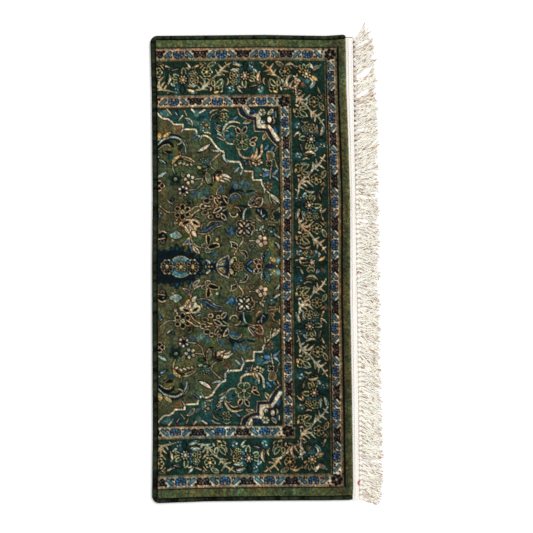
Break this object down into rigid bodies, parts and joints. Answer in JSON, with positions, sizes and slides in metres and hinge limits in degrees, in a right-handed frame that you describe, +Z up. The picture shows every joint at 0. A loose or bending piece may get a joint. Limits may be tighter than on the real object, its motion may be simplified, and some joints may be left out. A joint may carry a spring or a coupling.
{
  "type": "mosque carpet",
  "caption": "Flat thick-pile floral carpet piece with overcast yarn edges, a cotton heading tape and a knotted cotton fringe along its end.",
  "frame": {"origin": "on the flat underside, under the middle of the piled area", "axes": "+X towards the fringed end, +Y along the carpet's width, +Z up out of the pile"},
  "size_m": [0.401, 0.8319, 0.01],
  "materials": {
    "wool_pile": "cut wool pile",
    "overcast_yarn": "wound wool yarn",
    "cotton_tape": "flat woven cotton",
    "cotton_fringe": "loose cotton strands"
  },
  "bodies": {
    "root": {"carpet": "wool_pile", "overcasting": "overcast_yarn", "heading_tape": "cotton_tape", "fringe": "cotton_fringe"}
  },
  "joints": []
}
